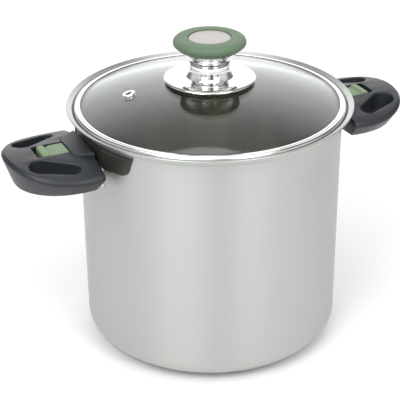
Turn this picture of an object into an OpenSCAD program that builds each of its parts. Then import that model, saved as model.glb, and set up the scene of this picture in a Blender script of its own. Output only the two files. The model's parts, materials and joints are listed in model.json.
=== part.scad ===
// Tall stainless stockpot with a glass lid and two latched side handles that fold down.
// Millimetres, +Z up. Origin: centre of the resting face. Handles lie along X.
// Side parts are drawn once, on the +X side, and turned 180 degrees about Z for the other side.

/* [Pot] */
// Outer radius of the straight wall
pot_r = 100; // [99:0.1:100]
// Height of the lip above the table
rim_z = 191.3; // [191:0.1:192]
// Thickness of the steel sheet
wall = 0.8; // [0.6:0.05:0.9]
// Outer radius of the bottom corner
corner_r = 13.5; // [10:0.5:20]
// How far the pouring rim flares out beyond the wall
flare_out = 8.75; // [8.75:0.05:10]
// Height of the flared rim
flare_h = 7.4; // [7.2:0.1:7.6]
// Radius of the rounded lip edge
lip_r = 0.55; // [0.45:0.05:0.6]

/* [Base] */
// Height of the sandwich base under the pot floor
base_h = 4.5; // [4:0.1:6]
// Radius of the sandwich base
base_r = 77; // [60:1:80]
// Sheet thickness of the steel capsule
capsule_t = 0.5; // [0.4:0.1:0.8]

/* [Lid] */
// Outer radius of the steel band round the glass
band_r = 103; // [102.8:0.05:103]
// Half of the band's height
band_half = 2.4; // [2.3:0.05:2.4]
// Height of the middle of the band
band_z = 188.55; // [188.5:0.05:189]
// Sheet thickness of the band and of the knob flange
band_t = 0.6; // [0.5:0.05:0.6]
// Radius of the glass dome's upper surface
dome_r = 264; // [262:1:266]
// Height of the top of the dome
dome_z = 209.8; // [209.6:0.1:210]
// Thickness of the glass
glass_t = 3.6; // [3.4:0.1:3.6]
// Distance of the steam vent from the middle of the lid
vent_off = 62.2; // [50:0.5:80]
// Direction of the steam vent, from +X
vent_az = 169; // [90:1:270]
// Radius of the hole through the vent eyelet
vent_hole_r = 2.2; // [1:0.1:2.6]

/* [Knob] */
// Radius of the polished flange under the knob
flange_r = 34.6; // [30:0.1:40]
// Height of the flat top of the flange
flange_z = 212; // [211.8:0.1:213]
// Height of the top of the steel neck
neck_z = 222; // [220:0.1:224]
// Widest radius of the knob cap
knob_r = 27.3; // [25:0.1:32]
// Height of the top of the knob
knob_z = 242; // [241:0.1:246]
// Radius of the blank steel badge
badge_r = 15.65; // [10:0.05:16]

/* [Handle] */
// Distance of the hinge pin from the pot's axis
pin_u = 108; // [108:0.1:109]
// Height of the hinge pin
pin_z = 160; // [159:0.5:161]
// Radius of the hinge pin
pin_r = 2; // [1.5:0.1:2.2]
// Radius of the handle's rounded heel about the hinge pin
heel_r = 5.6; // [5:0.1:5.8]
// Distance of the widest part of the grip from the pot's axis
grip_mid = 115.2; // [113:0.1:120]
// Length of the grip from its widest part to its tip
grip_len = 48; // [46:0.1:50]
// Half of the grip's width
grip_half = 46.6; // [45.5:0.1:51]
// Roundness of the grip's outline: 2 is an ellipse, lower is more pointed
grip_power = 2.13; // [1.7:0.01:2.3]
// Height of the crown along the middle of the grip
crown_z = 176.6; // [176:0.1:178]
// Drop of the grip's upper surface at 44 mm from its middle
crown_drop = 7.55; // [6:0.05:9]
// Width of the bevel round the upper edge
bevel = 2.4; // [2:0.1:4]
// How far the sides lean in down to the underside
under_inset = 11.2; // [10:0.1:12.5]
// How far the tip leans in down to the underside
tip_inset = 6.5; // [5:0.1:10]

/* [Latch] */
// Travel of the button
button_travel = 3.6; // [2:0.1:3.6]
// Half of the button's width
button_half = 9.4; // [8:0.1:9.4]
// Thickness of each hinge ear
ear_t = 2; // [1.6:0.1:2]
// Radius of the ears about the hinge pin
ear_r = 7; // [6.8:0.05:7]

/* [Hidden] */
$fn = 64;

steel = [0.78, 0.79, 0.78];
bright_steel = [0.86, 0.86, 0.86];
slate = [0.29, 0.30, 0.32];
dark_slate = [0.20, 0.20, 0.19];
sage = [0.49, 0.58, 0.45];
leaf = [0.43, 0.52, 0.42];
smoke_glass = [0.45, 0.49, 0.51, 0.6];
silicone = [0.12, 0.12, 0.12];

slack = 0.1;          // gap between a part and the pocket it sits in
cut = 1;              // how far a cutting shape runs past the face it cuts

floor_z = base_h;
lip_c = [pot_r + flare_out - lip_r, rim_z - lip_r];
crease_c = [pot_r - wall / 2, rim_z - flare_h];
seat = [[103.3, rim_z - 4.9], [104.1, rim_z - 4], [104.6, rim_z - 2.5], [105.3, rim_z - 1.75]]; // lid's seat in the rim
capsule_edge = 2;     // outer radius of the capsule's bottom edge

band_in = band_r - band_half;          // radius at which the band's round edge is centred
dome_c = dome_z - dome_r;              // height of the centre of the dome
vent_tilt = asin(vent_off / dome_r);

root_u = pin_u - heel_r;               // face of the handle next to the pot
under_z = pin_z - heel_r;              // flat underside of the handle
grip_steps = 32;

tab_u = 116.2;        // outer edge of the latch cover
tab_z = 172.6;        // seat of the latch cover
tab_root_z = 178.8;   // top of the latch cover next to the pot
tab_half_in = 22;
tab_half_out = 16.6;
tab_corner = 4;

button_in = 116.5;
button_out = 136.7;
button_seat = 171;
button_top = crown_z + 0.2;
well_half = 7;        // half width of the latch channel under the button
well_end = 141;       // outer end of the latch channel
bolt_z = 163;         // underside of the latch bolt
bolt_t = 2;
bolt_in = 114.8;
bolt_half = 5;
stem_in = 120.4;
stem_out = 134;

ear_in = 13;          // inner face of each ear, from the middle of the handle
ear_slot = [ear_in - 0.3, ear_in + ear_t + 0.3];
slot_out = 121.2;     // outer end of the ear slots
slot_top = pin_z + 10.4;
pin_span = [9.5, 22.5];
plate_t = 1;          // thickness of the welded plate
ear_root = sqrt(pow(pot_r + plate_t / 2, 2) - pow(ear_in, 2));   // where the ears meet the plate

// ---- small helpers ----

// points on an arc of a circle
function arc(c, r, a0, a1, n = 12) =
    [for (i = [0:n]) c + r * [cos(a0 + (a1 - a0) * i / n), sin(a0 + (a1 - a0) * i / n)]];

function unit(v) = v / norm(v);

// mitred normal at point i of a path
function mitre(p, i) =
    let (a = i > 0 ? unit(p[i] - p[i - 1]) : unit(p[1] - p[0]),
         b = i < len(p) - 1 ? unit(p[i + 1] - p[i]) : a,
         m = unit(a + b))
    [-m[1], m[0]] / (m * a);

// outline of a sheet of thickness t laid along a path
function sheet(p, t) = concat(
    [for (i = [0:len(p) - 1]) p[i] + mitre(p, i) * t / 2],
    [for (i = [len(p) - 1:-1:0]) p[i] - mitre(p, i) * t / 2]);

// height of a dome of radius r about the dome's centre, at distance x from the axis
function dome(x, r) = dome_c + sqrt(r * r - x * x);

function dome_line(r, x0, x1, n = 24) =
    [for (i = [0:n]) let (x = x0 + (x1 - x0) * i / n) [x, dome(x, r)]];

// a box between two corners
module box(a, b) translate(a) cube(b - a);

// a box and its mirror image across the handle's middle
module box_pair(a, b) {
    box(a, b);
    mirror([0, 1, 0]) box(a, b);
}

// a straight rod from a, along Y
module rod_y(a, r, h) translate(a) rotate([-90, 0, 0]) cylinder(r = r, h = h);

// an outline of [x, z] points made thick along Y, from y0 to y1
module slab_y(y0, y1) translate([0, y1, 0]) rotate([90, 0, 0]) linear_extrude(y1 - y0) children();

// the same thing on the other side of the pot
module other_side() rotate([0, 0, 180]) children();

// ---- pot ----

module pot_shell() color(steel) {
    path = concat(
        [[0, floor_z + wall / 2]],
        arc([pot_r - corner_r, floor_z + corner_r], corner_r - wall / 2, -90, 0),
        [crease_c - [0, 1], crease_c + [0.4, 0.35]],
        seat,
        [lip_c]);
    profile = sheet(path, wall);
    on_axis = [for (p = profile) [max(p[0], 0), p[1]]];
    rotate_extrude() polygon(on_axis);
    rotate_extrude() translate(lip_c) circle(r = lip_r);
}

module base_core() color([0.7, 0.7, 0.72]) {
    side_r = base_r - capsule_t - slack;
    rotate_extrude() polygon([[0, capsule_t], [side_r - capsule_edge, capsule_t],
        [side_r, capsule_t + capsule_edge], [side_r, base_h], [0, base_h]]);
}

module base_cap() color(steel) {
    path = concat(
        [[0, capsule_t / 2]],
        arc([base_r - capsule_edge, capsule_edge], capsule_edge - capsule_t / 2, -90, 0, 6),
        [[base_r - capsule_t / 2, base_h]]);
    rotate_extrude() polygon(sheet(path, capsule_t));
}

// ---- lid ----

// places things on the glass at the vent, square to the glass; z = 0 is the upper surface
module at_vent()
    translate([0, 0, dome_c]) rotate([0, vent_tilt, vent_az]) translate([0, 0, dome_r]) children();

module lid_glass() color(smoke_glass) {
    edge_half = glass_t / 2;
    hole_r = 4.2;
    flat_in = sqrt(pow(dome_r, 2) - pow(band_z + edge_half - dome_c, 2));
    under_r = dome_r - glass_t;
    flat_under = sqrt(pow(under_r, 2) - pow(band_z - edge_half - dome_c, 2));
    outline = concat(
        dome_line(dome_r, hole_r, flat_in),
        arc([band_in, band_z], edge_half, 90, -90),
        dome_line(under_r, flat_under, hole_r));
    difference() {
        rotate_extrude() polygon(outline);
        at_vent() translate([0, 0, -glass_t - cut]) cylinder(r = 3.6, h = glass_t + 2 * cut);
    }
}

module lid_ring() color(bright_steel) {
    mid_r = band_half - band_t / 2;
    under_in = 99.4;
    path = concat(
        [[under_in, band_z - mid_r]],
        arc([band_in, band_z], mid_r, -90, 90, 16),
        [[100.3, band_z + mid_r], [99.9, band_z + mid_r + 0.3], [98.7, dome(98.7, dome_r) + 0.55],
            [98.35, dome(98.35, dome_r) + 0.32]]);
    rotate_extrude() polygon(sheet(path, band_t - slack));
}

module vent_eyelet() color(bright_steel) {
    profile = [[vent_hole_r, 0.9], [vent_hole_r + 0.5, 1.2], [4.2, 1.2], [5, 0.7], [5, 0.05], [3.5, 0.05],
        [3.5, -glass_t - 1], [4.4, -glass_t - 1.1], [4.4, -glass_t - 1.5], [vent_hole_r, -glass_t - 1.5]];
    at_vent() rotate_extrude() polygon(profile);
}

module vent_washer() color(bright_steel)
    at_vent() translate([0, 0, -glass_t - 0.9]) difference() {
        cylinder(r = 5.2, h = 0.8);
        translate([0, 0, -cut]) cylinder(r = 3.55, h = 0.8 + 2 * cut);
    }

// ---- knob ----

module knob_gasket() color(silicone) {
    rim_r = 30;
    outline = concat(
        [[rim_r, flange_z - band_t - 0.8], [rim_r - 6.5, flange_z - band_t], [6, flange_z - band_t]],
        [for (p = dome_line(dome_r, 6, rim_r)) p + [0, 0.02]]);
    rotate_extrude() polygon(outline);
}

module knob_flange() color(bright_steel) {
    flat_r = 24;
    drop = 2;
    mid_z = flange_z - band_t / 2;
    path = concat(
        [[6, mid_z]],
        [for (a = [0:10:90]) [flat_r + (flange_r - band_t / 2 - flat_r) * sin(a), mid_z - drop * (1 - cos(a))]]);
    rotate_extrude() polygon(sheet(path, band_t));
}

module knob_neck() color(bright_steel) {
    foot_r = 18.4;
    top_r = 15.2;
    skirt_h = 6.4;
    skirt = [for (i = [0:8]) let (s = i / 8) [foot_r - (foot_r - top_r) * (1 - pow(1 - s, 1.8)), flange_z + skirt_h * s]];
    rotate_extrude() polygon(concat([[2.6, flange_z]], skirt,
        [[top_r, neck_z - 0.5], [top_r - 0.5, neck_z], [2.6, neck_z]]));
}

module knob_core() color(silicone)
    rotate_extrude() polygon([[4.05, neck_z], [14.2, neck_z], [14.2, neck_z + 13.9], [0, neck_z + 13.9],
        [0, neck_z + 12.6], [4.05, neck_z + 12.6]]);

module knob_insert() color([0.75, 0.62, 0.35])
    translate([0, 0, neck_z + 1]) difference() {
        cylinder(r = 4, h = 11.5);
        translate([0, 0, -cut]) cylinder(r = 2.55, h = 11.5 + 2 * cut);
    }

module knob_ferrule() color(bright_steel) {
    path = [[14.85, neck_z + 0.7], [15.3, neck_z + 1.3], [15.4, neck_z + 3.4], [16.2, neck_z + 4.7],
        [19.3, neck_z + 7.6], [21.8, neck_z + 10.5]];
    rotate_extrude() polygon(sheet(path, 0.7));
}

module knob_cap() color(leaf) {
    seat_z = neck_z + 10.8;
    core_z = neck_z + 13.9;
    pocket_r = badge_r + 0.25;
    round_in = 6.2;
    round_h = 3.6;
    top_round = [for (a = [0:10:90])
        [knob_r - round_in * (1 - cos(a)), knob_z - 0.1 - round_h + round_h * sin(a)]];
    outline = concat(
        [[14.3, seat_z], [23.1, seat_z]],
        arc([knob_r - 1, knob_z - 5.2], 1, -50, 0, 5),
        top_round,
        [[pocket_r + 0.5, knob_z], [pocket_r, knob_z - 0.4], [pocket_r, knob_z - 2], [0, knob_z - 2],
            [0, core_z + 0.05], [14.3, core_z + 0.05]]);
    rotate_extrude() polygon(outline);
}

module knob_badge() color([0.80, 0.77, 0.75])
    translate([0, 0, knob_z - 2]) union() {
        cylinder(r = badge_r, h = 0.9);
        translate([0, 0, 0.9]) cylinder(r1 = badge_r, r2 = badge_r - 0.3, h = 0.2);
    }

module knob_screw() color(bright_steel) {
    head_z = dome_z - glass_t - 5;
    union() {
        translate([0, 0, head_z]) cylinder(r = 2.5, h = neck_z + 12 - head_z);
        difference() {
            translate([0, 0, head_z]) cylinder(r = 5, h = 2.8);
            translate([0, 0, head_z - cut]) cylinder(r = 2.2, h = 1.5 + cut, $fn = 6);
        }
    }
}

module knob_washer() color(steel)
    translate([0, 0, dome_z - glass_t - 2.2]) difference() {
        cylinder(r = 8, h = 1);
        translate([0, 0, -cut]) cylinder(r = 2.7, h = 1 + 2 * cut);
    }

module knob_seal() color(silicone)
    rotate_extrude() polygon([[2.6, dome_z - glass_t - 1.2], [9.6, dome_z - glass_t - 1.2],
        [9.6, dome_z - glass_t - 0.2], [4.1, dome_z - glass_t - 0.2], [4.1, dome_z - 0.1], [2.6, dome_z - 0.1]]);

// ---- bracket on the wall ----

// outline of one ear: round about the pin, an arm to the wall, and a jaw over the latch bolt
module ear_outline() {
    translate([pin_u, pin_z]) circle(r = ear_r);
    translate([ear_root, pin_z - ear_r]) square([pin_u - ear_root, 2 * ear_r]);
    translate([pin_u, pin_z]) polygon([[0, 5], [7.9, 5.3], [7.6, 6.3], [5, 8.4], [1, 9.4], [-2, 6.7]]);
}

module bracket() color(steel) {
    plate_half = 24;
    plate_low = 150;
    plate_high = 180.2;
    difference() {
        union() {
            intersection() {
                difference() {
                    translate([0, 0, plate_low]) cylinder(r = pot_r + plate_t, h = plate_high - plate_low);
                    translate([0, 0, plate_low - cut]) cylinder(r = pot_r, h = plate_high - plate_low + 2 * cut);
                }
                box([0, -plate_half, 0], [pot_r + 10, plate_half, rim_z]);
            }
            for (y = [ear_in, -ear_in - ear_t])
                slab_y(y, y + ear_t) ear_outline();
        }
        rod_y([pin_u, -30, pin_z], pin_r, 60);
    }
}

module bracket_cover() color(dark_slate) {
    low = 167;
    high = 182;
    strip_half = 27;
    step_half = 37;
    wing_low = 49.6;
    wing_high = 53;
    corner = 2.5;
    outer = pot_r + 3;
    gap = 0.05;
    side = [[strip_half, low], [step_half, low], [step_half + 0.8, low + 0.8], [wing_low - corner, low + 0.8],
        [wing_low - 0.3, low + 0.8 + corner], [wing_high, high]];
    outline = concat(side, [for (i = [len(side) - 1:-1:0]) [-side[i][0], side[i][1]]]);
    difference() {
        intersection() {
            rotate_extrude() polygon([[pot_r + gap, low], [outer, low], [outer, high - 1.8],
                [outer - 1, high], [pot_r + gap, high]]);
            rotate([90, 0, 90]) linear_extrude(pot_r + 10) polygon(outline);
        }
        // thin strip behind the handle
        difference() {
            box([0, -strip_half, low - cut], [pot_r + 10, strip_half, high + cut]);
            cylinder(r = pot_r + 2, h = rim_z);
        }
        // pocket for the welded plate
        intersection() {
            cylinder(r = pot_r + plate_t + gap, h = high - 1.7);
            box([0, -24.3, 0], [pot_r + 10, 24.3, rim_z]);
        }
        // narrow groove between strip and wing
        box_pair([0, strip_half - 0.6, low - cut], [pot_r + 10, strip_half + 0.6, low + 9]);
    }
}

module hinge_pins() color(bright_steel) {
    length = pin_span[1] - pin_span[0];
    for (y = [pin_span[0], -pin_span[1]])
        rod_y([pin_u, y, pin_z], pin_r, length);
}

// ---- handle ----

// height of the grip's upper surface at distance v from its middle line
function crown(v) = crown_z - crown_drop * pow(v / 44, 2);

// how far round the outline the point at angle a lies, along and across the grip
function reach(a) = pow(max(cos(a), 0), 2 / grip_power);
function spread(a) = sign(sin(a)) * pow(abs(sin(a)), 2 / grip_power);

// insets across and along the grip and height of its outline at one level, for the point at angle a.
// level 0 to 2 follow the crown; level 3 and up are flat and run down round the heel
flat_levels = [for (a = [0:15:90]) pin_z - heel_r * sin(a)];
function level_at(k, a) =
    let (ins = [bevel, bevel * 0.3, 0])
    k < 3
    ? [ins[k], ins[k], crown((grip_half - ins[k]) * spread(a)) - (bevel - ins[k])]
    : let (z = flat_levels[k - 3], wide_z = crown(grip_half * spread(a)) - bevel,
            s = (wide_z - z) / (wide_z - under_z))
        [under_inset * s, tip_inset * s, z];
function heel_u(z) = pin_u - sqrt(max(0, pow(heel_r, 2) - pow(max(0, pin_z - z), 2)));
function grip_point(k, a, inner) =
    let (l = level_at(k, a), u = reach(a) * (grip_len - l[1]))
    [inner ? max(heel_u(l[2]), grip_mid - u) : grip_mid + u, spread(a) * (grip_half - l[0]), l[2]];
function grip_ring(k) = concat(
    [for (i = [0:grip_steps]) grip_point(k, 180 * i / grip_steps - 90, false)],
    [for (i = [grip_steps - 1:-1:1]) grip_point(k, 180 * i / grip_steps - 90, true)]);

// the whole grip as one solid, before anything is cut out of it
module grip_body() {
    levels = 3 + len(flat_levels);
    n = 2 * grip_steps;
    last = (levels - 1) * n;
    points = [for (k = [0:levels - 1]) each grip_ring(k)];
    flank = [for (k = [0:levels - 2]) for (j = [0:n - 1])
        let (a = k * n + j, b = k * n + (j + 1) % n)
        each [[a, b, b + n], [a, b + n, a + n]]];
    top = [for (i = [1:grip_steps - 2]) [i, n - i, n - i - 1, i + 1]];
    ends = [[0, n - 1, 1], [grip_steps - 1, grip_steps + 1, grip_steps]];
    under = [[for (j = [0:n - 1]) last + j]];
    polyhedron(points, concat(flank, top, ends, under), convexity = 6);
}

// through slot for the fingers, wider at the outer end and narrowing downwards
module finger_slot() {
    module layer(z, ends) translate([0, 0, z]) linear_extrude(cut)
        hull() for (e = ends) translate([e[0], e[1]]) circle(r = e[2]);
    hull() {
        layer(crown_z, [[122.1, 30.8, 5.6], [142.6, 21, 8.2]]);
        layer(under_z - cut, [[122.1, 28, 5], [138.5, 18.5, 5.5]]);
    }
}

// plan of the plate that closes the handle from below; g widens it into its pocket
module underside_outline(g) {
    tongue = 12.2 + g;
    half = [[pin_u - g, tongue], [115.8 - g, tongue], [115.8 - g, 19 + g], [121, 19 + g],
        [142, 9.6 + g], [148.5 + g, 7.6 + g]];
    polygon(concat(half, [for (i = [len(half) - 1:-1:0]) [half[i][0], -half[i][1]]]));
}

screw_places = [[125, 14], [125, -14], [145, 0]];

// half width of the latch cover at distance u, with rounded outer corners
function tab_half(u) =
    let (s = (tab_u - u) / (tab_u - root_u), w = tab_half_out + (tab_half_in - tab_half_out) * s,
         e = max(0, tab_corner - (tab_u - u)))
    w - (tab_corner - sqrt(max(0, pow(tab_corner, 2) - e * e)));
function tab_us() = concat([for (i = [0:5]) root_u + (tab_u - tab_corner - root_u) * i / 5],
    [for (a = [15:15:90]) tab_u - tab_corner + tab_corner * sin(a)]);
function tab_top(u, v) =
    let (s = (tab_u - u) / (tab_u - root_u))
    crown(v) * (1 - s) + (tab_root_z - 0.4 * pow(s, 8)) * s;

// solid with a flat seat and a curved top, its plan given by rows of half width
module latch_cover_body() {
    us = tab_us();
    m = 12;
    rows = len(us);
    row = m + 1;
    top = [for (u = us) for (i = [0:m]) let (v = max(tab_half(u), 0.01) * (2 * i / m - 1)) [u, v, tab_top(u, v)]];
    low = [for (p = top) [p[0], p[1], tab_z]];
    k = rows * row;
    top_faces = [for (r = [0:rows - 2]) for (i = [0:m - 1])
        let (a = r * row + i)
        each [[a, a + 1, a + row + 1], [a, a + row + 1, a + row]]];
    low_faces = [for (f = top_faces) [f[2] + k, f[1] + k, f[0] + k]];
    side_faces = [for (r = [0:rows - 2])
        let (a = r * row, b = a + row, c = a + m, d = c + row)
        each [[a, b, b + k], [a, b + k, a + k], [c, c + k, d + k], [c, d + k, d]]];
    end_faces = [for (i = [0:m - 1])
        let (a = i, b = (rows - 1) * row + i)
        each [[a, a + k, a + 1 + k], [a, a + 1 + k, a + 1], [b, b + 1, b + 1 + k], [b, b + 1 + k, b + k]]];
    polyhedron(concat(top, low), concat(top_faces, low_faces, side_faces, end_faces), convexity = 4);
}

// pocket for the latch cover
module tab_pocket() {
    g = 0.25;
    half = concat([[root_u - cut, tab_half(root_u) + g + 0.2]], [for (u = tab_us()) [u + g, tab_half(u) + g]]);
    translate([0, 0, tab_z]) linear_extrude(10)
        polygon(concat(half, [for (i = [len(half) - 1:-1:0]) [half[i][0], -half[i][1]]]));
}

module handle_shell() color(slate)
    difference() {
        grip_body();
        finger_slot();
        mirror([0, 1, 0]) finger_slot();
        tab_pocket();
        // opening for the button, and the ledge that its inner end slides under the cover on
        box([107.5, -button_half - 0.2, button_seat], [button_out + button_travel + 0.3, button_half + 0.2, 190]);
        // latch channel
        box([slot_out - cut, -well_half, bolt_z - 1], [well_end, well_half, 190]);
        // room round the hinge, between the two inner knuckles
        box([root_u + 1.6, -9, under_z - cut], [slot_out, 9, bolt_z + bolt_t + 0.6]);
        // cross slot for the head of the bolt
        box([bolt_in - 0.5, -ear_slot[1], under_z - cut], [slot_out, ear_slot[1], bolt_z + bolt_t + 0.6]);
        // ear slots
        box_pair([root_u - cut, ear_slot[0], under_z - cut], [slot_out, ear_slot[1], slot_top]);
        // blind bores for the two pins
        for (y = [5, -5 - 18])
            rod_y([pin_u, y, pin_z], pin_r + 0.06, 18);
        // pocket and screw holes for the plate underneath
        translate([0, 0, under_z - cut]) linear_extrude(cut + 2) underside_outline(slack);
        for (p = screw_places)
            translate([p[0], p[1], under_z - cut]) cylinder(r = 1.3, h = cut + 10);
    }

module handle_underside() color(dark_slate)
    difference() {
        translate([0, 0, under_z]) linear_extrude(2 - slack / 2) underside_outline(-slack / 2);
        for (p = screw_places)
            translate([p[0], p[1], under_z - 0.01]) {
                cylinder(r = 1.35, h = 3);
                cylinder(r1 = 2.75, r2 = 1.35, h = 1.4);
            }
    }

module latch_cover() color(slate)
    latch_cover_body();

module handle_screws() color(steel)
    for (p = screw_places)
        translate([p[0], p[1], under_z + 0.05]) difference() {
            union() {
                cylinder(r = 1.25, h = 9.5);
                cylinder(r1 = 2.6, r2 = 1.25, h = 1.35);
            }
            translate([-2, -0.35, -cut]) cube([4, 0.7, cut + 0.5]);
            translate([-0.35, -2, -cut]) cube([0.7, 4, cut + 0.5]);
        }

// ---- latch ----

module button() color(sage) {
    corner = 2.6;
    low = button_seat + 0.15;
    plan = concat(
        [[button_in, button_half]],
        arc([button_out - corner, button_half - corner], corner, 90, 0, 6));
    outline = concat(plan, [for (i = [len(plan) - 1:-1:0]) [plan[i][0], -plan[i][1]]]);
    // side view: flat towards the pot, a hollow, then a ridge to push against
    top = [[button_in, button_top - 1.1], [127.6, button_top - 1.2], [128.6, button_top - 1.7],
        [129.4, button_top - 1.6], [130.8, button_top], [134.6, button_top + 0.2],
        [136.2, button_top - 0.5], [button_out, button_top - 1.6]];
    union() {
        intersection() {
            translate([0, 0, low]) linear_extrude(10) polygon(outline);
            slab_y(-button_half, button_half) polygon(concat(top, [[button_out, low], [button_in, low]]));
        }
        box([108.2, -button_half, low], [button_in + 0.2, button_half, tab_z - 0.25]);
        box([stem_in, -well_half + 0.4, bolt_z + bolt_t], [stem_out, well_half - 0.4, low + 0.2]);
        translate([126, 0, bolt_z]) cylinder(r = 1.9, h = bolt_t + 0.5);
        translate([stem_out - 0.5, 0, 168]) rotate([0, 90, 0]) cylinder(r = 1.2, h = 2);
    }
}

module latch_bolt() color(bright_steel)
    difference() {
        union() {
            box([bolt_in, -ear_slot[1] + 0.15, bolt_z], [bolt_in + 2.4, ear_slot[1] - 0.15, bolt_z + bolt_t]);
            box([bolt_in + 1, -bolt_half, bolt_z], [stem_out, bolt_half, bolt_z + bolt_t]);
        }
        translate([126, 0, bolt_z - cut]) cylinder(r = 1.95, h = bolt_t + 2 * cut);
    }

// compression spring along X, as a tube swept along a helix
module button_spring() color(bright_steel) {
    coil_r = 2;
    wire_r = 0.25;
    turns = 5;
    per_turn = 14;
    sides = 6;
    start = stem_out + wire_r + 0.05;
    finish = well_end - wire_r - 0.05;
    steps = turns * per_turn;
    points = [for (i = [0:steps]) let (a = 360 * i / per_turn, x = start + (finish - start) * i / steps)
        for (j = [0:sides - 1]) let (b = 360 * j / sides, r = coil_r + wire_r * cos(b))
        [x + wire_r * sin(b), r * cos(a), 168 + r * sin(a)]];
    skin = [for (i = [0:steps - 1]) for (j = [0:sides - 1])
        let (p = i * sides + j, q = i * sides + (j + 1) % sides)
        each [[p, p + sides, q + sides], [p, q + sides, q]]];
    caps = [[for (j = [0:sides - 1]) j], [for (j = [sides - 1:-1:0]) steps * sides + j]];
    polyhedron(points, concat(skin, caps), convexity = 10);
}

// ---- nodes ----

module right_bracket() bracket();
module right_bracket_cover() bracket_cover();
module right_hinge_pins() hinge_pins();
module right_handle_shell() handle_shell();
module right_handle_underside() handle_underside();
module right_latch_cover() latch_cover();
module right_handle_screws() handle_screws();
module right_button() button();
module right_latch_bolt() latch_bolt();
module right_button_spring() button_spring();
module left_bracket() other_side() bracket();
module left_bracket_cover() other_side() bracket_cover();
module left_hinge_pins() other_side() hinge_pins();
module left_handle_shell() other_side() handle_shell();
module left_handle_underside() other_side() handle_underside();
module left_latch_cover() other_side() latch_cover();
module left_handle_screws() other_side() handle_screws();
module left_button() other_side() button();
module left_latch_bolt() other_side() latch_bolt();
module left_button_spring() other_side() button_spring();

pot_shell();
base_core();
base_cap();
lid_glass();
lid_ring();
vent_eyelet();
vent_washer();
knob_gasket();
knob_flange();
knob_neck();
knob_core();
knob_insert();
knob_ferrule();
knob_cap();
knob_badge();
knob_screw();
knob_washer();
knob_seal();
right_bracket();
right_bracket_cover();
right_hinge_pins();
right_handle_shell();
right_handle_underside();
right_latch_cover();
right_handle_screws();
right_button();
right_latch_bolt();
right_button_spring();
left_bracket();
left_bracket_cover();
left_hinge_pins();
left_handle_shell();
left_handle_underside();
left_latch_cover();
left_handle_screws();
left_button();
left_latch_bolt();
left_button_spring();
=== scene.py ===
"""Looks for a tall stainless stockpot with a glass lid and two latched folding handles.

Lengths below are in millimetres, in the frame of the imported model, and are scaled to metres
where a mesh is made. Side parts are drawn once, for the +X side, and turned for the other side.
"""

import json
import math

import bmesh
import bpy
from mathutils import Matrix, Vector


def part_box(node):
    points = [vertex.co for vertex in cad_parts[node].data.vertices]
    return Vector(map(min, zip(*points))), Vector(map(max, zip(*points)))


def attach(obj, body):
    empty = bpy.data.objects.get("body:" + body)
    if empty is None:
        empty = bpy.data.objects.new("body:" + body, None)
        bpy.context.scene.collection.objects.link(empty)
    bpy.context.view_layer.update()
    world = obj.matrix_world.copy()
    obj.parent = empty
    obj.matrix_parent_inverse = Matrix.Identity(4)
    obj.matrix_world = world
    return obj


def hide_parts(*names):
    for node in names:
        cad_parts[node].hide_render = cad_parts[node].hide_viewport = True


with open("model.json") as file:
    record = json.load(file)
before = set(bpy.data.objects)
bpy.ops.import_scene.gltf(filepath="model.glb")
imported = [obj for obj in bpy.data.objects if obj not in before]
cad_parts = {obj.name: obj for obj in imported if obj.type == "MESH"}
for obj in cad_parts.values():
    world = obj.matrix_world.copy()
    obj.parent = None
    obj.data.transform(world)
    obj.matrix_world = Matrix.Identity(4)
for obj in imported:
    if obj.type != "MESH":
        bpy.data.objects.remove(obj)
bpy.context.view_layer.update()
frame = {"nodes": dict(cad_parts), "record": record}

MM = 0.001


def box_mm(node):
    """Lowest and highest corner of a CAD node, in millimetres."""
    low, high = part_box(node)
    return Vector(low) / MM, Vector(high) / MM


# ---------------------------------------------------------------- dimensions

POT_LOW, POT_HIGH = box_mm("pot_shell")
FLOOR_Z = POT_LOW.z              # underside of the pot's own floor
RIM_Z = POT_HIGH.z
POT_R = 100.0
LIP_OUT = POT_HIGH.x
WALL = 0.8
CORNER_R = 13.5
FLARE_H = 7.4
LIP_R = 0.55
BEND_R = 3.0
# where the flare steepens to make the lid's seat
SEAT = [(103.9, RIM_Z - 4.5), (105.0, RIM_Z - 1.9)]

RING_LOW, RING_HIGH = box_mm("lid_ring")
BAND_R = 103.0
BAND_HALF = 2.4
BAND_Z = (RING_LOW.z + RING_HIGH.z) / 2
BAND_T = 0.6
DOME_R = 264.0
DOME_Z = 209.8
GLASS_T = 3.6
VENT_OFF = 62.2
VENT_AZ = math.radians(169)
VENT_HOLE_R = 2.2

FLANGE_R = box_mm("knob_flange")[1].x
FLANGE_Z = box_mm("knob_flange")[1].z
NECK_Z = box_mm("knob_neck")[1].z
KNOB_LOW, KNOB_HIGH = box_mm("knob_cap")
KNOB_R = KNOB_HIGH.x
KNOB_Z = KNOB_HIGH.z
NECK_FOOT = 18.4
BADGE_R = box_mm("knob_badge")[1].x

PIN_U = 108.0
PIN_Z = 160.0
HEEL_R = 5.6
ROOT_U = PIN_U - HEEL_R
UNDER_Z = PIN_Z - HEEL_R
GRIP_MID = 115.2
GRIP_LEN = 48.0
GRIP_HALF = 46.6
GRIP_POWER = 2.13
CROWN_Z = 176.6
CROWN_DROP = 7.55
BEVEL = 2.4
UNDER_INSET = 11.2
TIP_INSET = 6.5

TAB_U = 116.2
TAB_Z = 172.6
TAB_ROOT_Z = 178.8
TAB_HALF_IN = 22.0
TAB_HALF_OUT = 16.6
TAB_CORNER = 4.0
BUTTON_IN = 116.5
BUTTON_OUT = 136.7
BUTTON_HALF = 9.4
BUTTON_SEAT = 171.0
BUTTON_TOP = CROWN_Z + 0.2
BUTTON_CORNER = 2.6
TONGUE_IN = 108.2                # inner end of the button's tongue, under the latch cover
STEM = (120.4, 134.0)            # the button's stem: from and to, along the handle
STEM_HALF = 6.6
OPENING_IN = 107.5
OPENING_OUT = 140.6
WELL_OUT = 141.0
WELL_HALF = 7.0
SLOT_OUT = 121.2
BOLT_Z = 163.0
BOLT_T = 2.0
BOLT_HEAD_IN = 114.3
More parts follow.
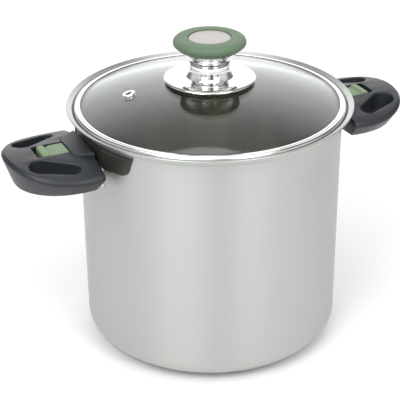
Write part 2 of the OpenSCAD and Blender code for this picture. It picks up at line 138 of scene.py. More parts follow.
# finger slots: distance along and across the handle and radius of each end, at the top and underneath
SLOT_TOP = ((122.1, 30.8, 5.6), (142.6, 21.0, 8.2))
SLOT_LOW = ((122.1, 28.0, 5.0), (138.5, 18.5, 5.5))
# half of the outline of the plate that closes the handle from below
PLATE_HALF = [(PIN_U, 12.2), (115.8, 12.2), (115.8, 19.0), (121.0, 19.0), (142.0, 9.6), (148.5, 7.6)]
PLATE_T = 2.0
EAR_SLOT = (12.7, 15.3)          # either side of an ear of the bracket, across the handle
PIN_HOLE_R = 2.06
PIN_HOLE = (5.0, 23.0)


# ---------------------------------------------------------------- outlines

def arc(centre, radius, start, end, steps):
    """Points on a circle, angles in degrees."""
    points = []
    for i in range(steps + 1):
        a = math.radians(start + (end - start) * i / steps)
        points.append(Vector((centre[0] + radius * math.cos(a), centre[1] + radius * math.sin(a))))
    return points


def mitres(path):
    """Normal at each point of an open path, stretched at corners so that an offset stays parallel."""
    normals = []
    for i in range(len(path)):
        before = (path[i] - path[i - 1]).normalized() if i else (path[1] - path[0]).normalized()
        after = (path[i + 1] - path[i]).normalized() if i < len(path) - 1 else before
        middle = (before + after).normalized()
        normals.append(Vector((-middle.y, middle.x)) / middle.dot(before))
    return normals


def sheet(path, thickness):
    """Both faces of a sheet of metal laid along a path: left side, then right side back."""
    path = [Vector(p) for p in path]
    normals = mitres(path)
    left = [p + n * thickness / 2 for p, n in zip(path, normals)]
    right = [p - n * thickness / 2 for p, n in zip(path, normals)]
    return left, right[::-1]


def rounded(points, radii, steps=4, closed=False):
    """A polyline with its corners rounded to the radii given, each by steps + 1 points."""
    points = [Vector(p) for p in points]
    out = []
    n = len(points)
    for i, p in enumerate(points):
        if not closed and i in (0, n - 1) or radii[i] <= 0:
            out.append(p)
            continue
        a = (points[i - 1] - p).normalized()
        b = (points[(i + 1) % n] - p).normalized()
        half = a.angle(b) / 2
        reach = radii[i] / math.tan(half)
        centre = p + (a + b).normalized() * radii[i] / math.sin(half)
        start = p + a * reach - centre
        end = p + b * reach - centre
        turn = start.angle_signed(end)
        for k in range(steps + 1):
            t = -turn * k / steps
            out.append(centre + Vector((start.x * math.cos(t) - start.y * math.sin(t),
                                        start.x * math.sin(t) + start.y * math.cos(t))))
    return out


# ---------------------------------------------------------------- meshes

def new_piece(name, points, faces, body, slot, replaces=(), material=None, crease=35, place=None):
    """A piece from points in millimetres; edges sharper than crease degrees stay sharp."""
    mesh = bpy.data.meshes.new(name)
    scaled = [Vector(p) * MM for p in points]
    if place is not None:
        scaled = [place @ p for p in scaled]
    mesh.from_pydata(scaled, [], faces)
    piece = bpy.data.objects.new(name, mesh)
    bpy.context.scene.collection.objects.link(piece)
    tidy_mesh(mesh, crease)
    mesh.materials.append(material or MATERIALS[slot])
    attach(piece, body)
    if replaces:
        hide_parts(*replaces)
    return piece


def tidy_mesh(mesh, crease):
    """Merges doubled points, turns every face outwards and shades it smooth up to the crease angle."""
    work = bmesh.new()
    work.from_mesh(mesh)
    bmesh.ops.remove_doubles(work, verts=work.verts, dist=1e-7)
    bmesh.ops.dissolve_degenerate(work, edges=work.edges, dist=1e-7)
    bmesh.ops.recalc_face_normals(work, faces=work.faces)
    work.to_mesh(mesh)
    work.free()
    mesh.shade_smooth()
    mesh.set_sharp_from_angle(angle=math.radians(crease))


def lathe(name, profile, segments=192, **more):
    """A closed [radius, height] outline turned about the Z axis."""
    points = []
    rings = []
    for r, z in profile:
        if r < 1e-6:
            rings.append([len(points)] * segments)
            points.append((0, 0, z))
            continue
        rings.append(list(range(len(points), len(points) + segments)))
        for k in range(segments):
            a = 2 * math.pi * k / segments
            points.append((r * math.cos(a), r * math.sin(a), z))
    faces = []
    for i, ring in enumerate(rings):
        other = rings[(i + 1) % len(rings)]
        for k in range(segments):
            quad = [ring[k], ring[(k + 1) % segments], other[(k + 1) % segments], other[k]]
            corners = list(dict.fromkeys(quad))
            if len(corners) > 2:
                faces.append(corners)
    return new_piece(name, points, faces, **more)


def carve(piece, cutters, crease):
    """Cuts closed shapes, each a (points, faces) pair in millimetres, out of a piece."""
    for points, faces in cutters:
        mesh = bpy.data.meshes.new("cutter")
        mesh.from_pydata([Vector(p) * MM for p in points], [], faces)
        work = bmesh.new()
        work.from_mesh(mesh)
        bmesh.ops.recalc_face_normals(work, faces=work.faces)
        work.to_mesh(mesh)
        work.free()
        tool = bpy.data.objects.new("cutter", mesh)
        bpy.context.scene.collection.objects.link(tool)
        cut = piece.modifiers.new("cut", "BOOLEAN")
        cut.operation = "DIFFERENCE"
        cut.solver = "EXACT"
        cut.object = tool
        shape = bpy.data.meshes.new_from_object(piece.evaluated_get(bpy.context.evaluated_depsgraph_get()))
        piece.modifiers.clear()
        old = piece.data
        piece.data = shape
        bpy.data.meshes.remove(old)
        bpy.data.objects.remove(tool)
        bpy.data.meshes.remove(mesh)
    tidy_mesh(piece.data, crease)


def stack(rings):
    """A closed shape from rings of equal length, with flat ends."""
    n = len(rings[0])
    points = [p for ring in rings for p in ring]
    faces = [[k * n + j, k * n + (j + 1) % n, (k + 1) * n + (j + 1) % n, (k + 1) * n + j]
             for k in range(len(rings) - 1) for j in range(n)]
    faces.append(list(range(n)))
    faces.append([(len(rings) - 1) * n + j for j in range(n)])
    return points, faces


def prism(low, high):
    """A box between two corners."""
    ring = [(low[0], low[1]), (high[0], low[1]), (high[0], high[1]), (low[0], high[1])]
    return stack([[(x, y, low[2]) for x, y in ring], [(x, y, high[2]) for x, y in ring]])


def turned(shape):
    """A (points, faces) shape turned to the other side of the pot."""
    return [(-p[0], -p[1], p[2]) for p in shape[0]], shape[1]


# ---------------------------------------------------------------- materials

class Look:
    """A Principled material and short calls that add nodes to it."""

    def __init__(self, name, colour, roughness, metallic=0.0):
        self.material = bpy.data.materials.new(name)
        self.material.use_nodes = True
        self.tree = self.material.node_tree
        self.shader = self.tree.nodes["Principled BSDF"]
        self.set("Base Color", (*colour, 1))
        self.set("Roughness", roughness)
        self.set("Metallic", metallic)
        self.colour = colour

    def set(self, socket, value):
        self.shader.inputs[socket].default_value = value

    def add(self, kind, links=(), **values):
        node = self.tree.nodes.new(kind)
        for key, value in values.items():
            setattr(node, key, value)
        for socket, source in links:
            if hasattr(source, "is_output"):
                self.tree.links.new(source, node.inputs[socket])
            else:
                node.inputs[socket].default_value = source
        return node

    def link(self, source, socket):
        self.tree.links.new(source, self.shader.inputs[socket])

    def place(self):
        """Object coordinates, in metres."""
        return self.add("ShaderNodeTexCoord").outputs["Object"]

    def noise(self, vector, scale, detail=3.0, rough=0.55):
        node = self.add("ShaderNodeTexNoise", [("Vector", vector), ("Scale", scale), ("Detail", detail),
                                                ("Roughness", rough)])
        return node.outputs["Fac"]

    def stretch(self, vector, scale):
        return self.add("ShaderNodeMapping", [("Vector", vector), ("Scale", scale)]).outputs["Vector"]

    def spread(self, value, low, high):
        """Maps 0.3..0.7, where most of a noise lies, to low..high."""
        node = self.add("ShaderNodeMapRange", [("Value", value), ("From Min", 0.3), ("From Max", 0.7),
                                               ("To Min", low), ("To Max", high)])
        return node.outputs["Result"]

    def tint(self, value, dark, light):
        """A colour between two shades of the base colour."""
        node = self.add("ShaderNodeMix", data_type="RGBA")
        self.tree.links.new(value, node.inputs["Factor"])
        node.inputs["A"].default_value = (*[c * dark for c in self.colour], 1)
        node.inputs["B"].default_value = (*[min(1, c * light) for c in self.colour], 1)
        return node.outputs["Result"]

    def bump(self, height, strength, distance):
        node = self.add("ShaderNodeBump", [("Height", height), ("Strength", strength),
                                            ("Distance", distance)])
        self.link(node.outputs["Normal"], "Normal")

    def math(self, operation, a, b=0.0):
        node = self.add("ShaderNodeMath", [(0, a), (1, b)], operation=operation)
        return node.outputs["Value"]

    def around(self, per_turn, per_metre):
        """Coordinates that run round the Z axis and up it, for brushing that follows a turned part."""
        split = self.add("ShaderNodeSeparateXYZ", [("Vector", self.place())]).outputs
        angle = self.math("ARCTAN2", split["Y"], split["X"])
        across = self.math("MULTIPLY", angle, per_turn / (2 * math.pi))
        up = self.math("MULTIPLY", split["Z"], per_metre)
        radius = self.add("ShaderNodeVectorMath", [(0, self.place())], operation="LENGTH").outputs["Value"]
        return self.add("ShaderNodeCombineXYZ", [("X", across), ("Y", up), ("Z", radius)]).outputs["Vector"]


def brushed(name, colour, roughness, lines, depth, mottle):
    """Steel brushed round its axis: long fine scratches, and soft changes of shade."""
    look = Look(name, colour, roughness, 1.0)
    scratches = look.noise(look.around(14.0, lines), 1.0, 4.0, 0.7)
    clouds = look.noise(look.place(), 14.0, 2.0)
    look.link(look.spread(scratches, roughness * 0.86, roughness * 1.16), "Roughness")
    look.link(look.tint(look.math("ADD", look.math("MULTIPLY", scratches, 0.6),
                                  look.math("MULTIPLY", clouds, 0.4)), 1 - mottle, 1 + mottle), "Base Color")
    look.bump(scratches, 0.25, depth)
    look.set("Anisotropic", 0.8)
    look.set("Anisotropic Rotation", 0.25)
    tangent = look.add("ShaderNodeTangent", direction_type="RADIAL", axis="Z")
    look.link(tangent.outputs["Tangent"], "Tangent")
    return look.material


def polished(name, colour, roughness):
    """Bright steel with faint polishing marks."""
    look = Look(name, colour, roughness, 1.0)
    marks = look.noise(look.stretch(look.place(), (60, 60, 900)), 1.0, 3.0)
    look.link(look.spread(marks, roughness * 0.7, roughness * 1.4), "Roughness")
    look.link(look.tint(look.noise(look.place(), 60.0), 0.96, 1.03), "Base Color")
    look.bump(marks, 0.05, 0.00002)
    return look.material


def moulded(name, colour, roughness, grain=1500.0, depth=0.00006, coat=0.0):
    """Moulded plastic: a fine spark-eroded grain, with slight changes of shade and gloss."""
    look = Look(name, colour, roughness)
    fine = look.noise(look.place(), grain, 2.0)
    wide = look.noise(look.place(), 45.0, 3.0)
    look.link(look.spread(wide, roughness * 0.9, roughness * 1.12), "Roughness")
    look.link(look.tint(look.math("ADD", look.math("MULTIPLY", fine, 0.4), look.math("MULTIPLY", wide, 0.6)),
                        0.88, 1.12), "Base Color")
    look.bump(fine, 0.35, depth)
    look.set("Coat Weight", coat)
    look.set("Specular IOR Level", 0.4)
    return look.material


def smoke_glass(name, colour):
    """Clear tempered glass with a slight grey cast and faint ripples in its gloss."""
    look = Look(name, colour, 0.0)
    look.set("IOR", 1.5)
    look.set("Transmission Weight", 1.0)
    ripple = look.noise(look.place(), 18.0, 1.0)
    look.link(look.spread(ripple, 0.0, 0.02), "Roughness")
    look.bump(ripple, 0.04, 0.0004)
    return look.material


MATERIALS = {
    "brushed_body": brushed("brushed_body", (0.53, 0.543, 0.525), 0.44, 2600.0, 0.00003, 0.035),
    "satin_steel": polished("satin_steel", (0.60, 0.60, 0.59), 0.30),
    "bright_steel": polished("bright_steel", (0.78, 0.78, 0.765), 0.13),
    "polished_steel": polished("polished_steel", (0.84, 0.84, 0.835), 0.06),
    "badge_steel": moulded("badge_steel", (0.46, 0.425, 0.41), 0.45, 900.0, 0.00002),
    "spring_steel": polished("spring_steel", (0.55, 0.55, 0.56), 0.25),
    "aluminium_core": polished("aluminium_core", (0.75, 0.75, 0.76), 0.45),
    "brass": polished("brass", (0.72, 0.55, 0.25), 0.25),
    "lid_glass": smoke_glass("lid_glass", (0.80, 0.845, 0.86)),
    "silicone": moulded("silicone", (0.035, 0.035, 0.033), 0.6, 900.0),
    "dark_plastic": moulded("dark_plastic", (0.026, 0.025, 0.022), 0.40, 1300.0),
    "handle_plastic": moulded("handle_plastic", (0.019, 0.022, 0.027), 0.40, 1500.0),
    "button_green": moulded("button_green", (0.165, 0.240, 0.130), 0.45, 1400.0, 0.00003),
    "knob_green": moulded("knob_green", (0.118, 0.180, 0.112), 0.55, 1400.0, 0.00004),
}

INSIDE = brushed("inside", (0.56, 0.535, 0.475), 0.20, 1500.0, 0.00002, 0.06)

SLOT_OF = {s["node"]: s["material_slot"] for s in frame["record"]["subparts"]}
for node_name, node in frame["nodes"].items():
    node.data.materials.clear()
    node.data.materials.append(MATERIALS[SLOT_OF[node_name]])


# ---------------------------------------------------------------- pot

def pot_body():
    """The drawn body: flat floor, rounded corner, straight wall, flared rim with a rounded lip."""
    lip = Vector((LIP_OUT - LIP_R, RIM_Z - LIP_R))
    crease = Vector((POT_R - WALL / 2, RIM_Z - FLARE_H))
    wall_low = FLOOR_Z + CORNER_R
    path = [(0, FLOOR_Z + WALL / 2), (40, FLOOR_Z + WALL / 2)]
    path += arc((POT_R - CORNER_R, wall_low), CORNER_R - WALL / 2, -90, 0, 18)
    path += [(POT_R - WALL / 2, wall_low + (crease.y - wall_low) * k / 6) for k in range(1, 6)]
    path += rounded([path[-1], crease, *SEAT, lip], [0, BEND_R, 1.4, 1.2, 0], 8)[1:]
    flare = lip - Vector(SEAT[-1])
    lean = math.degrees(math.atan2(flare.x, flare.y))
    path[-1] = lip - flare.normalized() * 0.4
    inner, outer = sheet(path, WALL)
    edge = arc(lip, LIP_R, 180 - lean, -lean, 10)
    profile = inner + edge + outer
    profile[0].x = 0
    profile[-1].x = 0
    body = lathe("pot_body", profile, 256, body="pot", slot="brushed_body", replaces=["pot_shell"])
    body.data.materials.append(INSIDE)
    for face in body.data.polygons:
        inward = -(face.center.x * face.normal.x + face.center.y * face.normal.y)
        if face.center.z < (RIM_Z - FLARE_H - 1) * MM and (inward > 1e-4 or face.normal.z > 0.3):
            face.material_index = 1


# ---------------------------------------------------------------- lid

def dome_height(x, radius):
    """Height at distance x from the axis of a dome about the glass's own centre."""
    return DOME_Z - DOME_R + math.sqrt(radius * radius - x * x)


def dome_line(radius, start, end, steps):
    return [Vector((x, dome_height(x, radius)))
            for x in [start + (end - start) * i / steps for i in range(steps + 1)]]


def vent_place():
    """Moves a part turned about Z to the vent, square to the glass; z = 0 is the glass's upper face."""
    tilt = math.asin(VENT_OFF / DOME_R)
    return (Matrix.Translation((0, 0, (DOME_Z - DOME_R) * MM)) @ Matrix.Rotation(VENT_AZ, 4, "Z")
            @ Matrix.Rotation(tilt, 4, "Y") @ Matrix.Translation((0, 0, DOME_R * MM)))


def lid_pane():
    """The tempered glass dome, with its rounded edge and the hole for the vent."""
    half = GLASS_T / 2
    centre = DOME_Z - DOME_R
    under = DOME_R - GLASS_T
    flat_top = math.sqrt(DOME_R ** 2 - (BAND_Z + half - centre) ** 2)
    flat_under = math.sqrt(under ** 2 - (BAND_Z - half - centre) ** 2)
    profile = dome_line(DOME_R, 4.2, flat_top, 40)
    profile += arc((BAND_R - BAND_HALF, BAND_Z), half, 90, -90, 12)
    profile += dome_line(under, flat_under, 4.2, 40)
    pane = lathe("lid_pane", profile, 256, body="lid", slot="lid_glass", replaces=["lid_glass"])
    place = vent_place()
    ring = [(3.6 * math.cos(a), 3.6 * math.sin(a)) for a in [2 * math.pi * k / 48 for k in range(48)]]
    points, faces = stack([[(x, y, z) for x, y in ring] for z in (-GLASS_T - 2, 2)])
    carve(pane, [([place @ (Vector(p) * MM) / MM for p in points], faces)], 35)


def lid_band():
    """The steel band crimped round the edge of the glass."""
    mid = BAND_HALF - BAND_T / 2
    path = [(99.4, BAND_Z - mid), (99.9, BAND_Z - mid)]
    path += arc((BAND_R - BAND_HALF, BAND_Z), mid, -90, 90, 20)
    tail = [Vector((r, dome_height(r, DOME_R) + lift)) for r, lift in ((98.7, 0.55), (98.35, 0.32))]
    path += rounded([path[-1], (100.3, BAND_Z + mid), (99.9, BAND_Z + mid + 0.3), *tail],
                    [0, 0.15, 0.15, 0.2, 0], 4)[1:]
    inner, outer = sheet(path, BAND_T - 0.1)
    lathe("lid_band", inner + outer, 256, body="lid", slot="bright_steel", replaces=["lid_ring"])


def vent():
    """The steam vent's eyelet, rolled over at the top."""
    foot = -GLASS_T
    top = rounded([(VENT_HOLE_R, foot - 1.5), (VENT_HOLE_R, 1.3), (5.1, 1.3), (5.1, 0.05), (3.5, 0.05)],
                  [0, 0.55, 0.9, 0.25, 0], 5)
    profile = top + [Vector((3.5, foot - 1)), Vector((4.4, foot - 1.1)), Vector((4.4, foot - 1.5))]
    lathe("vent_rim", profile, 64, body="lid", slot="bright_steel", replaces=["vent_eyelet"],
          place=vent_place())


# ---------------------------------------------------------------- knob

def knob():
    """The turned and pressed parts of the knob, from the flange up to the badge."""
    drop = 2.0
    flat = 24.0
    mid_z = FLANGE_Z - BAND_T / 2
    reach = FLANGE_R - BAND_T / 2 - flat
    path = [(6, mid_z), (20, mid_z)]
    path += [(flat + reach * math.sin(a), mid_z - drop * (1 - math.cos(a)))
             for a in [math.radians(6 * k) for k in range(16)]]
    inner, outer = sheet(path, BAND_T)
    lathe("flange", inner + outer, body="lid", slot="polished_steel", replaces=["knob_flange"])

    top = 15.2
    skirt = 6.4
    side = []
    for k in range(25):
        s = k / 24
        side.append(Vector((NECK_FOOT - (NECK_FOOT - top) * (1 - (1 - s) ** 1.8), FLANGE_Z + skirt * s)))
    profile = [Vector((2.6, FLANGE_Z))] + side
    profile += rounded([side[-1], (top, NECK_Z), (top - 2, NECK_Z)], [0, 0.5, 0], 4)[1:]
    profile += [Vector((2.6, NECK_Z))]
    lathe("neck", profile, 128, body="lid", slot="polished_steel", replaces=["knob_neck"])

    path = rounded([(14.85, NECK_Z + 0.7), (15.3, NECK_Z + 1.3), (15.4, NECK_Z + 3.8), (19.3, NECK_Z + 7.6),
                    (21.8, NECK_Z + 10.5)], [0, 0.4, 3, 6, 0], 6)
    inner, outer = sheet(path, 0.7)
    lathe("ferrule", inner + outer, 128, body="lid", slot="polished_steel", replaces=["knob_ferrule"])

    seat = NECK_Z + 10.8
    core = NECK_Z + 13.95
    pocket = BADGE_R + 0.25
    crown = [(KNOB_R - 6.2 * (1 - math.cos(a)), KNOB_Z - 3.7 + 3.6 * math.sin(a))
             for a in [math.radians(6 * k) for k in range(16)]]
    under = rounded([(14.3, seat), (23.1, seat), (KNOB_R - 0.1, KNOB_Z - 5.6), crown[0]], [0, 0.8, 1.2, 0], 6)
    pocket_edge = rounded([crown[-1], (pocket, KNOB_Z), (pocket, KNOB_Z - 2), (0, KNOB_Z - 2)],
                          [0, 0.5, 0.1, 0], 4)
    profile = under[:-1] + [Vector(p) for p in crown] + pocket_edge[1:]
    profile += [Vector((0, core)), Vector((14.3, core))]
    lathe("cap", profile, 192, body="lid", slot="knob_green", replaces=["knob_cap"])

    base = KNOB_Z - 2
    face = base + 1.1
    profile = rounded([(0, base), (BADGE_R, base), (BADGE_R, face), (0, face)], [0, 0.1, 0.35, 0], 4)
    lathe("badge", profile, 128, body="lid", slot="badge_steel", replaces=["knob_badge"])


# ---------------------------------------------------------------- handles

def crown_height(v):
    return CROWN_Z - CROWN_DROP * (v / 44) ** 2


def reach(a):
    return max(math.cos(a), 0) ** (2 / GRIP_POWER)


def spread(a):
    return math.copysign(abs(math.sin(a)) ** (2 / GRIP_POWER), math.sin(a))


def heel(z, drop):
    """Distance of the handle's root face from the pot's axis: flat above the pin, round below it."""
    low = max(0.0, PIN_Z - z)
    face = PIN_U - math.sqrt(max(0.0, HEEL_R ** 2 - low ** 2))
    edge = 1.0
    return face + (edge - math.sqrt(edge ** 2 - (edge - drop) ** 2) if drop < edge else 0)


def soft_max(a, b, width):
    return (a + b + math.sqrt((a - b) ** 2 + width ** 2)) / 2


def grip_mesh():
    """The handle moulding before its openings are cut: crowned top, crisp rounded edge, leaning flank."""
    steps = 96
    columns = []
    for i in range(steps + 1):
        a = math.pi * (i / steps - 0.5)
        wide_v = GRIP_HALF * spread(a)
        depth = crown_height(wide_v) - UNDER_Z
        side = rounded([(BEVEL + 3, 0), (BEVEL, 0), (0, BEVEL), (UNDER_INSET, depth),
                        (UNDER_INSET + 3, depth)], [0, 1.2, 1.6, 1.4, 0], 5)
        outer, inner = [], []
        for k, (inset, drop) in enumerate(side):
            v = spread(a) * (GRIP_HALF - inset)
            blend = min(1.0, max(0.0, (k - 6) / 6))
            top = crown_height(v) * (1 - blend) + crown_height(wide_v) * blend
            z = top - drop
            u = reach(a) * (GRIP_LEN - inset * (1 - blend * (1 - TIP_INSET / UNDER_INSET)))
            root = heel(z, drop) + (2.0 if k == len(side) - 1 else 0.0)
            outer.append((GRIP_MID + u, v, z))
            inner.append((soft_max(root, GRIP_MID - u, 1.6), v, z))
        columns.append((outer, inner))
    levels = len(columns[0][0])
    rings = []
    for k in range(levels):
        rings.append([c[0][k] for c in columns] + [c[1][k] for c in columns[-2:0:-1]])
    n = len(rings[0])
    points = [p for ring in rings for p in ring]
    faces = [[k * n + j, k * n + (j + 1) % n, (k + 1) * n + (j + 1) % n, (k + 1) * n + j]
             for k in range(levels - 1) for j in range(n)]
    for base in (0, (levels - 1) * n):
        faces += [[base + i, base + i + 1, base + n - i - 1, base + n - i] for i in range(1, steps - 1)]
        faces += [[base, base + 1, base + n - 1], [base + steps - 1, base + steps, base + steps + 1]]
    return points, faces


def flared_cutter(outline, normals, radius, low, low_outline=None, low_radius=0.0):
    """A cutter for an opening with rounded edges: straight sides that flare out at the crowned top.
    outline and normals give the opening and the way it widens; low is the depth it goes down to.
    With low_outline the opening goes right through and ends in that outline, rounded by low_radius."""
    def ring(offset, height):
        return [(p.x + n.x * offset, p.y + n.y * offset, height(p + n * offset))
                for p, n in zip(outline, normals)]

    rings = []
    if low_outline:
        sides = list(zip(low_outline, closed_normals(low_outline)))
        for k in range(6, -1, -1):
            a = math.radians(14 * min(k, 5))
            offset = low_radius * (1 - math.cos(a))
            z = low - 2 if k == 6 else low + low_radius * (1 - math.sin(a))
            rings.append([(p.x + n.x * offset, p.y + n.y * offset, z) for p, n in sides])
    else:
        rings.append(ring(0, lambda p: low))
    for k in range(6):
        a = math.radians(15 * k)
        rings.append(ring(radius * (1 - math.cos(a)),
                          lambda p, a=a: crown_height(p.y) - radius * (1 - math.sin(a))))
    rings.append(ring(radius + 0.35, lambda p: crown_height(p.y) + 0.15))
    rings.append(ring(radius + 0.4, lambda p: crown_height(p.y) + 6))
    return stack(rings)


def closed_normals(outline):
    """Outward normals of a closed outline that runs anticlockwise."""
    normals = []
    n = len(outline)
    for i in range(n):
        before = (outline[i] - outline[i - 1]).normalized()
        after = (outline[(i + 1) % n] - outline[i]).normalized()
        middle = (before + after).normalized()
        normals.append(Vector((middle.y, -middle.x)) / max(0.3, middle.dot(before)))
    return normals


def slot_outline(ends, side):
    """Outline of a finger slot: a circle at each end, joined by straight sides."""
    (a, ra), (b, rb) = [(Vector((u, v * side)), r) for u, v, r in ends]
    along = b - a
    turn = math.degrees(math.atan2(along.y, along.x))
    tilt = math.degrees(math.acos((ra - rb) / along.length))
    return arc(b, rb, turn - tilt, turn + tilt, 28) + arc(a, ra, turn + tilt, turn + 360 - tilt, 20)


def finger_slot(side):
    """Cutter for one finger slot, wider at its outer end and narrowing downwards."""
    top = slot_outline(SLOT_TOP, side)
    low = slot_outline(SLOT_LOW, side)
    return flared_cutter(top, closed_normals(top), 1.1, UNDER_Z, low, 1.2)


def tab_half(u):
    """Half width of the latch cover at distance u, with rounded outer corners."""
    s = (TAB_U - u) / (TAB_U - ROOT_U)
    near = max(0.0, TAB_CORNER - (TAB_U - u))
    return (TAB_HALF_OUT + (TAB_HALF_IN - TAB_HALF_OUT) * s
            - (TAB_CORNER - math.sqrt(max(0.0, TAB_CORNER ** 2 - near ** 2))))


def tab_pocket():
    """Cutter for the latch cover's seat, a little wider than the cover."""
    gap = 0.3
    rows = [ROOT_U - 4] + [ROOT_U + (TAB_U - TAB_CORNER - ROOT_U) * k / 4 for k in range(1, 5)]
    rows += [TAB_U - TAB_CORNER * (1 - math.sin(math.radians(15 * k))) for k in range(1, 7)]
    half = [Vector((u, tab_half(u))) for u in rows]
    outline = [Vector((p.x, -p.y)) for p in half] + half[::-1]
    normals = closed_normals(outline)
    outline = [p + n * gap for p, n in zip(outline, normals)]
    return flared_cutter(outline, normals, 0.35, TAB_Z)


def button_opening():
    half = BUTTON_HALF + 0.25
    outline = rounded([(OPENING_IN, -half), (OPENING_OUT, -half), (OPENING_OUT, half), (OPENING_IN, half)],
                      [0.2, 2.2, 2.2, 0.2], 5, closed=True)
    return flared_cutter(outline, closed_normals(outline), 0.35, BUTTON_SEAT)


def underside_pocket():
    gap = 0.15
    half = [(u - gap, v + gap) for u, v in PLATE_HALF[:3]]
    half += [(u, v + gap) for u, v in PLATE_HALF[3:5]]
    half += [(u + gap, v + gap) for u, v in PLATE_HALF[5:]]
    outline = [Vector((u, -v)) for u, v in half] + [Vector(p) for p in reversed(half)]
    return stack([[(p.x, p.y, z) for p in outline] for z in (UNDER_Z - 2, UNDER_Z + PLATE_T + 0.05)])


def rod(u, z, radius, v0, v1):
    """A round bar across the handle, from v0 to v1."""
    sides = 32
    ring = [(u + radius * math.cos(a), z + radius * math.sin(a))
            for a in [math.tau * k / sides for k in range(sides)]]
    return stack([[(x, v, h) for x, h in ring] for v in (v0, v1)])


def handle_cutters():
    """Everything that is cut out of the handle: the openings seen from above, and the latch's channel,
    the slots for the bracket's ears and the bores for the pins, which open below and at the root."""
    head_half = EAR_SLOT[1] - 0.05
    cutters = [finger_slot(1), finger_slot(-1), tab_pocket(), button_opening(), underside_pocket(),
               prism((SLOT_OUT - 1, -WELL_HALF, BOLT_Z - 1), (WELL_OUT, WELL_HALF, BUTTON_SEAT + 0.5)),
               prism((ROOT_U + 1.6, -9, UNDER_Z - 1), (SLOT_OUT, 9, BOLT_Z + BOLT_T + 0.6)),
               prism((BOLT_HEAD_IN, -head_half, UNDER_Z - 1.2),
                     (SLOT_OUT + 0.1, head_half, BOLT_Z + BOLT_T + 0.5))]
    for side in (-1, 1):
        near, far = sorted(v * side for v in EAR_SLOT)
        cutters.append(prism((ROOT_U - 2, near, UNDER_Z - 1.5), (SLOT_OUT + 0.05, far, PIN_Z + 10.4)))
        near, far = sorted(v * side for v in PIN_HOLE)
        cutters.append(rod(PIN_U, PIN_Z, PIN_HOLE_R, near, far))
    return cutters


def pillow(us, half_width, top, low, edge, across=24):
    """A plate with a shaped top and a rounded upper edge: rows at us, widths and heights by functions."""
    first, last = us[0], us[-1]
    rows = []
    for u in us:
        w = half_width(u)
        row = []
        for i in range(across + 1):
            t = 2 * i / across - 1
            v = w * math.copysign(1 - (1 - abs(t)) ** 1.8, t)
            d = min(w - abs(v), last - u, u - first)
            row.append((u, v, top(u, v) - (edge - math.sqrt(edge ** 2 - (edge - d) ** 2) if d < edge else 0)))
        rows.append(row)
    points = [p for row in rows for p in row]
    n = across + 1
    faces = [[r * n + i, r * n + i + 1, (r + 1) * n + i + 1, (r + 1) * n + i]
             for r in range(len(rows) - 1) for i in range(across)]
    rim = [r * n for r in range(len(rows))]
    rim += [(len(rows) - 1) * n + i for i in range(1, n)]
    rim += [r * n + across for r in range(len(rows) - 2, -1, -1)]
    rim += list(range(across - 1, 0, -1))
    start = len(points)
    points += [(points[i][0], points[i][1], low) for i in rim]
    m = len(rim)
    faces += [[rim[j], rim[(j + 1) % m], start + (j + 1) % m, start + j] for j in range(m)]
    faces.append([start + j for j in range(m)])
    return points, faces


def end_rows(low, high, edge, steps=5):
    """Places just above low and just below high that crowd towards the ends, for a rounded edge."""
    bend = [edge * (1 - math.cos(math.radians(90 * k / steps))) for k in range(steps + 1)]
    return [low + b for b in bend], [high - b for b in reversed(bend)]


def tab_top(u, v):
    """Height of the latch cover: level with the grip at its outer end, rising towards the pot."""
    s = max(0.0, min(1.0, (TAB_U - u) / (TAB_U - ROOT_U)))
    s = s * s * (3 - 2 * s) * 0.35 + s * 0.65
    return crown_height(v) * (1 - s) + (TAB_ROOT_Z - 0.9 * (v / TAB_HALF_IN) ** 2) * s


def latch_cover():
    edge = 0.7
    first, last = end_rows(ROOT_U, TAB_U, edge)
    corner = [TAB_U - TAB_CORNER * (1 - math.sin(math.radians(10 * k))) for k in range(0, 8)]
    middle = [ROOT_U + edge + (TAB_U - TAB_CORNER - ROOT_U - edge) * k / 6 for k in range(1, 6)]
    us = sorted(set(round(u, 4) for u in first + middle + corner + last))
    return pillow(us, tab_half, tab_top, TAB_Z, edge)


def button_top(u, v):
    """Flat towards the pot, a hollow, then a ridge to push against."""
    knots = [(BUTTON_IN, -0.9), (126.6, -0.9), (128.6, -1.55), (129.8, -1.5), (131.6, 0.0), (133.2, 0.25),
             (135.2, 0.0), (BUTTON_OUT, -0.7)]
    for (a, za), (b, zb) in zip(knots, knots[1:]):
        if u <= b:
            s = max(0.0, (u - a) / (b - a))
            s = s * s * (3 - 2 * s)
            return BUTTON_TOP + za * (1 - s) + zb * s - 0.3 * (v / BUTTON_HALF) ** 2
    return BUTTON_TOP + knots[-1][1]


def button_half(u):
    near = max(0.0, BUTTON_CORNER - (BUTTON_OUT - u))
    return BUTTON_HALF - (BUTTON_CORNER - math.sqrt(max(0.0, BUTTON_CORNER ** 2 - near ** 2)))


def button_cap():
    edge = 0.6
    first, last = end_rows(BUTTON_IN, BUTTON_OUT, edge)
    corner = [BUTTON_OUT - BUTTON_CORNER * (1 - math.sin(math.radians(12 * k))) for k in range(0, 7)]
    length = BUTTON_OUT - BUTTON_CORNER - BUTTON_IN - edge
    middle = [BUTTON_IN + edge + length * k / 24 for k in range(1, 24)]
    us = sorted(set(round(u, 4) for u in first + middle + corner + last))
    return pillow(us, button_half, button_top, BUTTON_SEAT + 0.15, edge)


def button_parts():
    """What lies under the button: the tongue that runs in under the latch cover, and the stem."""
    low = BUTTON_SEAT + 0.15
    return [prism((TONGUE_IN, -BUTTON_HALF, low), (BUTTON_IN + 0.2, BUTTON_HALF, TAB_Z - 0.25)),
            prism((STEM[0], -STEM_HALF, BOLT_Z + BOLT_T), (STEM[1], STEM_HALF, low + 0.2))]


def merged(shapes):
    """Several closed shapes as one list of points and faces."""
    points, faces = [], []
    for more, ring in shapes:
        faces += [[i + len(points) for i in face] for face in ring]
        points += [tuple(p) for p in more]
    return points, faces


